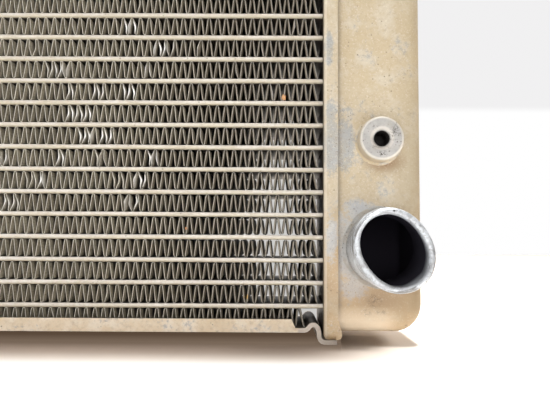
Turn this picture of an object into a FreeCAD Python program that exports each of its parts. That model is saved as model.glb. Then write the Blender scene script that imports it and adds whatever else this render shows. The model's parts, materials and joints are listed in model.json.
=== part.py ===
import FreeCAD, Part
import math
import os
from FreeCAD import Vector as V

os.makedirs("parts", exist_ok=True)

# ---------------------------------------------------------------- driving dimensions (mm)
# Frame: +X to the outlet end, +Y through the core from the front to the back, +Z up.
# Origin: middle of the underside of the bottom side plate.
TUBES = 32              # flat tubes, one above another
PITCH = 10.0            # tube pitch
TUBE_T = 2.0            # tube thickness
TUBE_WALL = 0.35
CORE_D = 32.0           # core depth
CORE_HALF_W = 215.0     # core centre to the header plate's face
Z_FIRST = 11.0          # centre of the lowest tube
FIN_WAVE = 3.9          # one full wave, two legs
FIN_T = 0.1
FIN_D = 31.4
FIN_GAP = 0.05          # braze gap between a fin crest and a tube
FIN_WAVES = 109
FIN_WAVES_END = 106     # the rows beside the side plates stop before the expansion bends
RAIL_T = 1.9            # side plate sheet
RAIL_FLANGE = 5.65      # side plate flange height
RAIL_GAP = 0.12         # side plate flange to the core
HEADER_T = 1.7          # header plate sheet
HEADER_W = 6.1          # header flange width, along X
HEADER_HALF_D = 22.0    # header half depth
HEADER_END = -2.7       # lowest point of a header plate
TANK_T = 2.0
TANK_HALF_D = 20.27
TANK_OUT = 42.9         # header face to the tank's far side
TANK_BOTTOM = 0.4
TANK_END = 1.0          # tank top below the top side plate's outer face
TANK_CORNER_R = 12.0    # corners seen from the front
TANK_EDGE_R = 5.5       # long edges
PIPE_R = 16.0
PIPE_ID_R = 13.8
PIPE_H = 24.0           # pipe length past the tank's face
PIPE_X = 240.5
PIPE_Z = 36.6
PIPE_SPIGOT_R = 15.5
BOSS_R = 9.5
BOSS_H = 8.0
BOSS_X = 239.0
BOSS_Z = 83.1
BOSS_HOLE_R = 3.4       # M8 tapping size
NECK_X = 233.2
NECK_TUBE_R = 11.2

Z_TOP = Z_FIRST + PITCH * (TUBES - 1) + Z_FIRST      # outer face of the top side plate
TANK_TOP = Z_TOP - TANK_END
HEADER_TOP = Z_TOP - HEADER_END
TUBE_END = CORE_HALF_W + 4.5
HALF_D = CORE_D / 2.0


# ---------------------------------------------------------------- helpers
def box(x0, x1, y0, y1, z0, z1):
    return Part.makeBox(x1 - x0, y1 - y0, z1 - z0, V(x0, y0, z0))


def cyl(r, h, base, direction):
    return Part.makeCylinder(r, h, V(*base), V(*direction))


def ring(ro, ri, h, base, direction):
    b = V(*base)
    d = V(*direction)
    hole = Part.makeCylinder(ri, h + 2.0, b - d * 1.0, d)
    return Part.makeCylinder(ro, h, b, d).cut(hole)


def prism(points, y0, y1):
    """A closed outline in X and Z, carried along Y."""
    pts = [V(x, y0, z) for x, z in points]
    return Part.Face(Part.makePolygon(pts + [pts[0]])).extrude(V(0, y1 - y0, 0))


def revolve(profile, base, direction):
    """A closed profile of (radius, height) points turned about direction at base."""
    pts = [V(r, 0, h) for r, h in profile]
    face = Part.Face(Part.makePolygon(pts + [pts[0]]))
    s = face.revolve(V(0, 0, 0), V(0, 0, 1), 360)
    s.Placement = FreeCAD.Placement(V(*base), FreeCAD.Rotation(V(0, 0, 1), V(*direction)))
    return s


def offset_path(pts, s):
    out = []
    n = len(pts)
    for i, p in enumerate(pts):
        a = pts[i - 1] if i > 0 else None
        b = pts[i + 1] if i < n - 1 else None
        ns = []
        for q0, q1 in ((a, p), (p, b)):
            if q0 is None or q1 is None:
                continue
            dx, dz = q1[0] - q0[0], q1[1] - q0[1]
            l = math.hypot(dx, dz)
            ns.append((-dz / l, dx / l))
        if len(ns) == 1:
            out.append((p[0] + s * ns[0][0], p[1] + s * ns[0][1]))
        else:
            k = 1 + ns[0][0] * ns[1][0] + ns[0][1] * ns[1][1]
            out.append((p[0] + s * (ns[0][0] + ns[1][0]) / k, p[1] + s * (ns[0][1] + ns[1][1]) / k))
    return out


def strip(pts, t, y0, y1):
    """A sheet of thickness t along a path in X and Z."""
    return prism(offset_path(pts, t / 2.0) + offset_path(pts, -t / 2.0)[::-1], y0, y1)


def mirror_x(s):
    return s.mirror(V(0, 0, 0), V(1, 0, 0))


def mirror_z(s):
    """Mirror about the middle height of the core."""
    return s.mirror(V(0, 0, Z_TOP / 2.0), V(0, 0, 1))


def fillet(s, test, r):
    edges = [e for e in s.Edges if test(e)]
    return s.makeFillet(r, edges)


def coil(r, wire, z0, z1, turns, x, y):
    """A coil spring of round wire, with its wire cut into short straight facets."""
    sides, steps = 6, int(round(turns * 16))
    rings = []
    for i in range(steps + 1):
        a = 2 * math.pi * turns * i / steps
        out = V(math.cos(a), math.sin(a), 0)
        c = out * r + V(0, 0, z0 + (z1 - z0) * i / steps)
        rise = (z1 - z0) / (2 * math.pi * turns * r)
        up = V(math.sin(a) * rise, -math.cos(a) * rise, 1).normalize()
        rings.append([c + out * (wire / 2.0 * math.cos(2 * math.pi * k / sides)) + up * (wire / 2.0 * math.sin(2 * math.pi * k / sides))
                      for k in range(sides)])
    faces = [Part.Face(Part.makePolygon(rings[0] + [rings[0][0]])), Part.Face(Part.makePolygon(rings[-1] + [rings[-1][0]]))]
    for p, q in zip(rings, rings[1:]):
        for k in range(sides):
            m = (k + 1) % sides
            for t in ((p[k], p[m], q[m]), (p[k], q[m], q[k])):
                faces.append(Part.Face(Part.makePolygon([t[0], t[1], t[2], t[0]])))
    skin = Part.makeShell(faces)
    skin.sewShape()
    s = Part.makeSolid(skin)
    if s.Volume < 0:
        s.reverse()
    s.translate(V(x, y, 0))
    return s


def hexagon(af, h, base, direction):
    r = af / math.sqrt(3.0)
    pts = [V(r * math.cos(math.radians(60 * i)), r * math.sin(math.radians(60 * i)), 0) for i in range(6)]
    s = Part.Face(Part.makePolygon(pts + [pts[0]])).extrude(V(0, 0, h))
    s = s.common(revolve([(0, 0), (af / 2.0 + 0.75, 0), (af / 2.0 + 0.75, h - 0.8), (af / 2.0 - 0.6, h), (0, h)], (0, 0, 0), (0, 0, 1)))
    s.Placement = FreeCAD.Placement(V(*base), FreeCAD.Rotation(V(0, 0, 1), V(*direction)))
    return s


def flat_oval(x0, x1, half_d, half_t, z):
    """A bar along X with a flat-sided, round-nosed section."""
    r = half_t
    y = half_d - r
    p = [V(x0, -y, z - r), V(x0, y, z - r), V(x0, half_d, z), V(x0, y, z + r), V(x0, -y, z + r), V(x0, -half_d, z)]
    w = Part.Wire([
        Part.makeLine(p[0], p[1]),
        Part.Arc(p[1], p[2], p[3]).toShape(),
        Part.makeLine(p[3], p[4]),
        Part.Arc(p[4], p[5], p[0]).toShape(),
    ])
    return Part.Face(w).extrude(V(x1 - x0, 0, 0))


def save(name, shape):
    shape.exportStep("parts/" + name + ".step")


# ---------------------------------------------------------------- core
tubes = []
for i in range(TUBES):
    z = Z_FIRST + PITCH * i
    outer = flat_oval(-TUBE_END, TUBE_END, HALF_D, TUBE_T / 2.0, z)
    inner = flat_oval(-TUBE_END - 1, TUBE_END + 1, HALF_D - TUBE_WALL, TUBE_T / 2.0 - TUBE_WALL, z)
    web = box(-TUBE_END - 1, TUBE_END + 1, -0.2, 0.2, z - TUBE_T, z + TUBE_T)
    tubes.append(outer.cut(inner.cut(web)))
save("core_tubes", Part.makeCompound(tubes))


def fin_strip(waves, z):
    """A corrugated strip: straight legs folded to and fro between two tubes."""
    height = PITCH - TUBE_T - 2 * FIN_GAP
    lean = math.atan2(FIN_WAVE / 2.0, height)
    amp = height / 2.0 - FIN_T / 2.0 / math.sin(lean)
    x0 = -FIN_WAVE * waves / 2.0
    pts = []
    for k in range(2 * waves + 1):
        pts.append((x0 + k * FIN_WAVE / 2.0, z + (amp if k % 2 else -amp)))
    return strip(pts, FIN_T, -FIN_D / 2.0, FIN_D / 2.0)


fins = []
for i in range(TUBES + 1):
    end_row = i in (0, TUBES)
    fins.append(fin_strip(FIN_WAVES_END if end_row else FIN_WAVES, Z_FIRST + PITCH * (i - 0.5)))
save("core_fins", Part.makeCompound(fins))

# ---------------------------------------------------------------- side plates
# Web under the last fin row, a raised expansion bead near each end, then a foot under the header plate.
bead = [
    (200.0, 0.95), (206.8, 0.95), (207.7, 1.15), (208.4, 1.7), (209.0, 2.4), (209.7, 3.05), (210.5, 3.35),
    (211.3, 3.25), (212.1, 2.75), (212.7, 2.0), (213.05, 1.0), (213.2, -0.2), (213.25, -1.4), (213.4, -2.3),
    (213.8, -3.15), (214.5, -3.8), (215.4, -4.1), (216.6, -4.15), (221.0, -4.15),
]
path = [(-x, z) for x, z in bead[::-1]] + bead
web = strip(path, RAIL_T, -HALF_D - RAIL_GAP - RAIL_T, HALF_D + RAIL_GAP + RAIL_T)
fl_in = HALF_D + RAIL_GAP
flange_outline = [(-203.9, 0.0), (203.9, 0.0), (201.3, RAIL_FLANGE), (-201.3, RAIL_FLANGE)]
bottom_plate = web
for side in (-1, 1):
    y0, y1 = sorted((side * fl_in, side * (fl_in + RAIL_T)))
    bottom_plate = bottom_plate.fuse(prism(flange_outline, y0, y1))
bottom_plate = bottom_plate.removeSplitter()
save("bottom_side_plate", bottom_plate)
save("top_side_plate", mirror_z(bottom_plate))

# ---------------------------------------------------------------- header plates
hx0, hx1 = CORE_HALF_W, CORE_HALF_W + HEADER_W


def pan(x0, x1, half_d, z0, z1, r_corner, r_face):
    s = box(x0, x1, -half_d, half_d, z0, z1)
    s = fillet(s, lambda e: abs(e.BoundBox.XLength - (x1 - x0)) < 1e-6, r_corner)
    return fillet(s, lambda e: e.BoundBox.XMax < x0 + 1e-6, r_face) if r_face else s


header = pan(hx0, hx1, HEADER_HALF_D, HEADER_END, HEADER_TOP, 3.0, 2.2)
gusset = [(hx1 - 1.0, 6.5), (hx1, 6.5), (hx1 + 0.35, 5.0), (hx1 + 0.95, 2.7), (hx1 + 1.4, 1.0), (hx1 + 1.6, -0.1), (hx1 + 1.45, -1.1), (hx1 + 0.9, -1.9),
          (hx1, HEADER_END + 0.4), (hx1 - 1.0, HEADER_END + 0.4)]
for y0, y1 in ((-HEADER_HALF_D, -HEADER_HALF_D + HEADER_T), (HEADER_HALF_D - HEADER_T, HEADER_HALF_D)):
    g = prism(gusset, y0, y1)
    header = header.fuse([g, mirror_z(g)])
inner = pan(hx0 + HEADER_T, hx1 + 10, HEADER_HALF_D - HEADER_T, HEADER_END + HEADER_T, HEADER_TOP - HEADER_T, 1.6, 0)
header = header.cut(inner)
slots = [flat_oval(hx0 - 5, hx0 + 5, HALF_D + 0.03, TUBE_T / 2.0 + 0.03, Z_FIRST + PITCH * i) for i in range(TUBES)]
header = header.cut(Part.makeCompound(slots)).removeSplitter()
save("right_header_plate", header)
save("left_header_plate", mirror_x(header))

# ---------------------------------------------------------------- tanks
tx0 = CORE_HALF_W + HEADER_T + 0.1
tx1 = CORE_HALF_W + TANK_OUT


def tank_form(x0, x1, half_d, z0, z1, r_corner, r_edge):
    s = box(x0, x1, -half_d, half_d, z0, z1)
    s = fillet(s, lambda e: e.BoundBox.XMin > x1 - 1e-6 and e.BoundBox.YLength > half_d, r_corner)

    def front_or_back(e):
        b = e.BoundBox
        return b.YLength < 1e-6 and b.XMax > x0 + 1.0
    return fillet(s, front_or_back, r_edge)


tank = tank_form(tx0, tx1, TANK_HALF_D, TANK_BOTTOM, TANK_TOP, TANK_CORNER_R, TANK_EDGE_R)
# the open edge is thickened at both ends so that it fills the header pan
skirt = box(tx0, tx0 + 3.6, -TANK_HALF_D + 0.2, TANK_HALF_D - 0.2, HEADER_END + HEADER_T + 0.1, HEADER_TOP - HEADER_T - 0.1)
skirt = fillet(skirt, lambda e: abs(e.BoundBox.XLength - 3.6) < 1e-6, 1.8)
tank = tank.fuse(skirt)
tank = tank.cut(tank_form(tx0 - 2.0, tx1 - TANK_T, TANK_HALF_D - TANK_T, TANK_BOTTOM + TANK_T, TANK_TOP - TANK_T,
                          TANK_CORNER_R - TANK_T, TANK_EDGE_R - TANK_T))
tank = tank.cut(box(tx0 - 2.0, tx0 + 1.0, -TANK_HALF_D + TANK_T, TANK_HALF_D - TANK_T, TANK_BOTTOM + TANK_T, TANK_TOP - TANK_T))
face_y = -TANK_HALF_D
SPIGOT_R = 7.5
BUNG_HOLE_R = SPIGOT_R + 0.04
right_tank = tank.cut([
    cyl(PIPE_SPIGOT_R + 0.04, 8.0, (PIPE_X, face_y - 4, PIPE_Z), (0, 1, 0)),
    cyl(BUNG_HOLE_R, 8.0, (BOSS_X, face_y - 4, BOSS_Z), (0, 1, 0)),
    cyl(BUNG_HOLE_R, 8.0, (BOSS_X, face_y - 4, Z_TOP - BOSS_Z), (0, 1, 0)),
    cyl(NECK_TUBE_R + 0.04, 8.0, (NECK_X, 0, TANK_TOP - 4), (0, 0, 1)),
]).removeSplitter()
save("right_tank", right_tank)

DRAIN_X, DRAIN_Z = -240.0, 20.0
BLEED_X = -233.0
left_tank = mirror_x(tank).cut([
    cyl(PIPE_SPIGOT_R + 0.04, 8.0, (-PIPE_X, face_y - 4, Z_TOP - PIPE_Z), (0, 1, 0)),
    cyl(BUNG_HOLE_R, 8.0, (-BOSS_X, face_y - 4, BOSS_Z), (0, 1, 0)),
    cyl(BUNG_HOLE_R, 8.0, (-BOSS_X, face_y - 4, Z_TOP - BOSS_Z), (0, 1, 0)),
    cyl(BUNG_HOLE_R, 8.0, (DRAIN_X, TANK_HALF_D - 4, DRAIN_Z), (0, 1, 0)),
    cyl(6.04, 8.0, (BLEED_X, 0, TANK_TOP - 4), (0, 0, 1)),
]).removeSplitter()
save("left_tank", left_tank)

# ---------------------------------------------------------------- hose pipes
# (radius, distance out of the tank's face); the mouth is rolled to a round lip
pipe_profile = [
    (PIPE_SPIGOT_R, -TANK_T - 1.0), (PIPE_SPIGOT_R, 1.9), (PIPE_R, 1.9), (PIPE_R, PIPE_H - 1.0), (PIPE_R - 0.3, PIPE_H - 0.35),
    (PIPE_R - 0.9, PIPE_H), (PIPE_ID_R + 0.7, PIPE_H), (PIPE_ID_R + 0.15, PIPE_H - 0.35), (PIPE_ID_R, PIPE_H - 1.0), (PIPE_ID_R, -TANK_T - 1.0),
]
pipe_weld = [(PIPE_R + 0.04, 0.04), (PIPE_R + 1.9, 0.04), (PIPE_R + 1.5, 0.5), (PIPE_R + 0.7, 1.1), (PIPE_R + 0.04, 1.75)]
boss_profile = [
    (SPIGOT_R, -TANK_T - 5.0), (SPIGOT_R, 0.04), (BOSS_R, 0.04), (BOSS_R, BOSS_H - 0.7), (BOSS_R - 0.7, BOSS_H),
    (BOSS_HOLE_R + 0.6, BOSS_H), (BOSS_HOLE_R, BOSS_H - 0.6), (BOSS_HOLE_R, -TANK_T - 3.5), (0, -TANK_T - 4.2), (0, -TANK_T - 5.0),
]
boss_weld = [(BOSS_R + 0.04, 0.04), (BOSS_R + 1.5, 0.04), (BOSS_R + 1.1, 0.45), (BOSS_R + 0.5, 0.9), (BOSS_R + 0.04, 1.4)]
front = (0, -1, 0)
save("outlet_pipe", revolve(pipe_profile, (PIPE_X, face_y, PIPE_Z), front))
save("outlet_weld_bead", revolve(pipe_weld, (PIPE_X, face_y, PIPE_Z), front))
save("inlet_pipe", revolve(pipe_profile, (-PIPE_X, face_y, Z_TOP - PIPE_Z), front))
save("inlet_weld_bead", revolve(pipe_weld, (-PIPE_X, face_y, Z_TOP - PIPE_Z), front))
spots = [(sx * BOSS_X, face_y, z) for sx in (1, -1) for z in (BOSS_Z, Z_TOP - BOSS_Z)]
save("mounting_bosses", Part.makeCompound([revolve(boss_profile, p, front) for p in spots]))
save("boss_weld_beads", Part.makeCompound([revolve(boss_weld, p, front) for p in spots]))

# ---------------------------------------------------------------- filler neck, over the right tank
SEAT_Z = TANK_TOP + 12.2
FLANGE_Z = TANK_TOP + 29.2
UP = (0, 0, 1)
neck = revolve([
    (NECK_TUBE_R, TANK_TOP - TANK_T - 1.0), (NECK_TUBE_R, SEAT_Z - 2.0), (17.0, SEAT_Z - 2.0),
    (17.0, FLANGE_Z - 1.2), (20.5, FLANGE_Z - 1.2), (20.5, FLANGE_Z), (15.6, FLANGE_Z), (15.6, SEAT_Z - 0.6),
    (10.6, SEAT_Z - 0.6), (10.6, SEAT_Z), (8.0, SEAT_Z), (8.0, SEAT_Z - 1.2), (9.4, SEAT_Z - 1.2), (9.4, TANK_TOP - TANK_T - 1.0),
], (NECK_X, 0, 0), UP)


def wedge(r0, r1, z0, z1, mid_deg, span_deg):
    """A sector of a ring about the neck's axis."""
    a0 = mid_deg - span_deg / 2.0
    s = Part.makeCylinder(r1, z1 - z0, V(0, 0, z0), V(0, 0, 1), span_deg)
    s = s.cut(Part.makeCylinder(r0, z1 - z0 + 2, V(0, 0, z0 - 1), V(0, 0, 1)))
    s.rotate(V(0, 0, 0), V(0, 0, 1), a0)
    s.translate(V(NECK_X, 0, 0))
    return s


NIPPLE_Z = SEAT_Z + 4.6
neck = neck.cut([
    wedge(17.2, 22, FLANGE_Z - 2.0, FLANGE_Z + 1.0, 0, 56),
    wedge(17.2, 22, FLANGE_Z - 2.0, FLANGE_Z + 1.0, 180, 56),
    cyl(3.04, 6, (NECK_X, 14.0, NIPPLE_Z), (0, 1, 0)),
])
save("filler_neck", neck)
save("neck_weld_bead", revolve([(NECK_TUBE_R + r, h) for r, h in ((0.04, 0.04), (1.4, 0.04), (1.1, 0.5), (0.5, 1.0), (0.04, 1.5))], (NECK_X, 0, TANK_TOP), UP))
save("overflow_nipple", revolve([(3.0, -1.2), (3.0, 1.0), (4.0, 1.0), (4.0, 21.2), (3.6, 22.0), (2.2, 22.0), (2.2, -1.2)],
                                (NECK_X, 17.0, NIPPLE_Z), (0, 1, 0)))

# ---------------------------------------------------------------- pressure cap, on the filler neck
GASKET_Z = FLANGE_Z + 0.04
save("cap_gasket", ring(19.8, 15.8, 1.4, (NECK_X, 0, GASKET_Z), UP))
DISC_Z = GASKET_Z + 1.44
save("cap_diaphragm", ring(19.8, 3.04, 0.4, (NECK_X, 0, DISC_Z), UP))
CAGE_TOP = DISC_Z - 0.04
cage = revolve([(3.04, CAGE_TOP), (3.04, CAGE_TOP - 1.0), (8.2, CAGE_TOP - 1.0), (8.2, CAGE_TOP - 8.0), (9.0, CAGE_TOP - 8.0),
                (9.0, CAGE_TOP - 1.0), (11.5, CAGE_TOP - 1.0), (11.5, CAGE_TOP)], (NECK_X, 0, 0), UP)
save("valve_cage", cage)
SHELL_Z = DISC_Z + 1.5
save("cap_rivet", revolve([(0, CAGE_TOP - 2.0), (4.6, CAGE_TOP - 2.0), (4.6, CAGE_TOP - 1.04), (3.0, CAGE_TOP - 1.04), (3.0, SHELL_Z + 1.24),
                           (5.0, SHELL_Z + 1.24), (4.6, SHELL_Z + 2.0), (3.2, SHELL_Z + 2.4), (0, SHELL_Z + 2.5)], (NECK_X, 0, 0), UP))
shell = revolve([(3.06, SHELL_Z), (19.8, SHELL_Z), (21.1, SHELL_Z - 1.3), (21.1, FLANGE_Z - 4.0), (22.3, FLANGE_Z - 4.0), (22.3, SHELL_Z - 0.8),
                 (20.2, SHELL_Z + 1.2), (3.06, SHELL_Z + 1.2)], (NECK_X, 0, 0), UP)
tabs = [wedge(17.6, 21.4, FLANGE_Z - 2.5, FLANGE_Z - 1.25, a, 44) for a in (90, 270)]
grips = []
for a in (0, 180):
    lug = box(21.3, 29.0, -6.5, 6.5, FLANGE_Z - 3.0, SHELL_Z - 0.6)
    lug = fillet(lug, lambda e: e.BoundBox.XMin > 28.9 and e.BoundBox.ZLength > 3, 4.0)
    lug = fillet(lug, lambda e: e.BoundBox.ZMin > SHELL_Z - 0.7 and e.BoundBox.XMax > 22, 1.2)
    lug.rotate(V(0, 0, 0), V(0, 0, 1), a)
    lug.translate(V(NECK_X, 0, 0))
    grips.append(lug)
shell = shell.fuse(tabs + grips).removeSplitter()
save("cap_shell", shell)
plate_z = SEAT_Z + 1.6
plate = revolve([(1.56, plate_z), (12.5, plate_z), (12.5, plate_z + 1.0), (8.12, plate_z + 1.0), (8.12, plate_z + 12.6), (7.2, plate_z + 12.6),
                 (7.2, plate_z + 1.0), (1.56, plate_z + 1.0)], (NECK_X, 0, 0), UP)
vents = [cyl(0.7, 3.0, (NECK_X + 3.2 * math.cos(math.radians(a)), 3.2 * math.sin(math.radians(a)), plate_z - 1), UP) for a in (45, 135, 225, 315)]
save("pressure_plate", plate.cut(vents))
save("pressure_seal", ring(12.5, 4.2, 1.5, (NECK_X, 0, SEAT_Z + 0.05), UP))
save("pressure_spring", coil(10.35, 1.2, plate_z + 1.66, CAGE_TOP - 1.66, 4.5, NECK_X, 0))
save("vacuum_valve", revolve([(0, SEAT_Z - 1.1), (6.0, SEAT_Z - 1.1), (6.5, SEAT_Z - 0.6), (6.5, SEAT_Z), (1.5, SEAT_Z), (1.5, plate_z + 5.2), (3.0, plate_z + 5.2),
                              (3.0, plate_z + 5.8), (0, plate_z + 5.8)], (NECK_X, 0, 0), UP))
save("vacuum_spring", coil(2.2, 0.4, plate_z + 1.25, plate_z + 4.95, 4.0, NECK_X, 0))

# ---------------------------------------------------------------- drain, low on the back of the left tank
BACK = (0, 1, 0)
drain_at = (DRAIN_X, TANK_HALF_D, DRAIN_Z)
save("drain_bung", revolve([(SPIGOT_R, -TANK_T - 2.0), (SPIGOT_R, 0.04), (9.5, 0.04), (9.5, 6.3), (8.9, 7.0), (5.05, 7.0), (5.05, -TANK_T - 2.0)], drain_at, BACK))
plug = revolve([(0, -TANK_T - 1.5), (4.2, -TANK_T - 1.5), (5.0, -TANK_T - 0.7), (5.0, 9.0), (0, 9.0)], drain_at, BACK)
plug = plug.fuse(hexagon(14.0, 6.0, (DRAIN_X, TANK_HALF_D + 9.0, DRAIN_Z), BACK)).removeSplitter()
save("drain_plug", plug)
save("drain_o_ring", Part.makeTorus(6.1, 0.95, V(DRAIN_X, TANK_HALF_D + 7.99, DRAIN_Z), V(0, 1, 0)))

# ---------------------------------------------------------------- bleed screw, on top of the left tank
bleed_at = (BLEED_X, 0, TANK_TOP)
save("bleed_bung", revolve([(6.0, -TANK_T - 1.5), (6.0, 0.04), (8.0, 0.04), (8.0, 4.5), (7.5, 5.0), (4.05, 5.0), (4.05, -TANK_T - 1.5)], bleed_at, UP))
screw = revolve([(0, -TANK_T - 1.2), (3.3, -TANK_T - 1.2), (4.0, -TANK_T - 0.5), (4.0, 6.1), (0, 6.1)], bleed_at, UP)
screw = screw.fuse(hexagon(12.0, 5.0, (BLEED_X, 0, TANK_TOP + 6.1), UP))
screw = screw.cut(box(BLEED_X - 8, BLEED_X + 8, -0.6, 0.6, TANK_TOP + 9.6, TANK_TOP + 12)).removeSplitter()
save("bleed_screw", screw)
save("bleed_washer", ring(7.0, 4.12, 1.0, (BLEED_X, 0, TANK_TOP + 5.05), UP))
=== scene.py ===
import bpy
import json
import math
import numpy as np
from mathutils import Matrix, Vector

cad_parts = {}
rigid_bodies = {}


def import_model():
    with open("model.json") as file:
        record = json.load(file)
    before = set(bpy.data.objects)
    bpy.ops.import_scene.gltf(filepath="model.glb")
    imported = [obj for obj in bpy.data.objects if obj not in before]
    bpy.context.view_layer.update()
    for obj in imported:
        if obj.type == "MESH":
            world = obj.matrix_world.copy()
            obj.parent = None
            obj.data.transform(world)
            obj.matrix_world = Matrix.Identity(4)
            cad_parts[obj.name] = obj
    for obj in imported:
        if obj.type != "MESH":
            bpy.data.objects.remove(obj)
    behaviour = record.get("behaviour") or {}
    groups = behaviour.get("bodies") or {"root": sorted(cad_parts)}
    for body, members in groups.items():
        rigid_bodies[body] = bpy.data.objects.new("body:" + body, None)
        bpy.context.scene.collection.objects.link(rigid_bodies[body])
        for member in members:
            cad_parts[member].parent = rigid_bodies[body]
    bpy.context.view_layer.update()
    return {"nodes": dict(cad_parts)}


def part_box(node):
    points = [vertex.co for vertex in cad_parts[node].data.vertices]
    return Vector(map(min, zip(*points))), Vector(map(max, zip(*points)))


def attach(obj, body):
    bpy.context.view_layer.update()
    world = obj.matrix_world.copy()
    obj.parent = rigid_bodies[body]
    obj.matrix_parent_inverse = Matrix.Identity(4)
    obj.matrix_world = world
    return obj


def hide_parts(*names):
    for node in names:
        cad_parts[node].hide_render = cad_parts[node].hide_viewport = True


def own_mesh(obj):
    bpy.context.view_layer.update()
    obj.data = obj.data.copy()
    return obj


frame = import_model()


rng = np.random.default_rng(743)
NODES = frame["nodes"]
MM = 0.001

# the CAD's own numbers, in millimetres
PITCH, TUBE_T, HALF_D, Z_FIRST, TUBES = 10.0, 2.0, 16.0, 11.0, 32
HEADER_X, Z_TOP = 215.0, 332.0
TANK_FACE = -20.27
PIPE_X, PIPE_Z, PIPE_R, PIPE_H = 240.5, 36.6, 16.0, 24.0
BOSS_X, BOSS_Z, BOSS_R, BOSS_H = 239.0, 83.1, 9.5, 8.0


# ------------------------------------------------------------------ smooth noise, for shapes
def lattice(n, seed):
    return np.random.default_rng(seed).uniform(-1, 1, n)


def noise1(x, seed, cell=1.0):
    """Smooth value noise along a line, -1 to 1."""
    x = np.asarray(x, float) / cell + 4096.0
    i = np.floor(x).astype(int)
    f = x - i
    f = f * f * (3 - 2 * f)
    t = lattice(8192, seed)
    return t[i % 8192] * (1 - f) + t[(i + 1) % 8192] * f


def smooth(t):
    t = np.clip(t, 0, 1)
    return t * t * (3 - 2 * t)


# ------------------------------------------------------------------ meshes
def quads(name, verts_mm, faces, material, body="radiator", stands_for=(), smooth_shade=True, sharp_deg=None, painted_glint=None):
    """A mesh object from arrays: vertices in millimetres and faces of four (or a list with mixed sizes)."""
    me = bpy.data.meshes.new(name)
    v = np.asarray(verts_mm, np.float32) * MM
    if isinstance(faces, np.ndarray):
        n = len(faces)
        me.vertices.add(len(v))
        me.vertices.foreach_set("co", v.ravel())
        me.loops.add(n * faces.shape[1])
        me.loops.foreach_set("vertex_index", faces.astype(np.int32).ravel())
        me.polygons.add(n)
        me.polygons.foreach_set("loop_start", (np.arange(n) * faces.shape[1]).astype(np.int32))
        me.update(calc_edges=True)
    else:
        me.from_pydata([tuple(p) for p in v], [], [tuple(int(i) for i in f) for f in faces])
        me.update()
    me.polygons.foreach_set("use_smooth", np.full(len(me.polygons), smooth_shade))
    ob = bpy.data.objects.new(name, me)
    bpy.context.scene.collection.objects.link(ob)
    me.materials.append(material)
    # the optional per-point values are the strength of a painted glint, kept as a mesh attribute
    if painted_glint is not None:
        me.attributes.new("painted_glint", "FLOAT", "POINT").data.foreach_set("value", np.asarray(painted_glint, np.float32))
    if sharp_deg is not None:
        me.set_sharp_from_angle(angle=math.radians(sharp_deg))
    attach(ob, body)
    if stands_for:
        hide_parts(*stands_for)
    return ob


def loop_faces(rings, n, base=0, closed=True, flip=False):
    """Quads joining successive rings of n points."""
    i = np.arange(rings - 1)[:, None]
    k = np.arange(n if closed else n - 1)[None, :]
    a = base + i * n + k
    b = base + i * n + (k + 1) % n
    c = b + n
    d = a + n
    f = np.stack([a, b, c, d], -1).reshape(-1, 4)
    return f[:, ::-1] if flip else f


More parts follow.
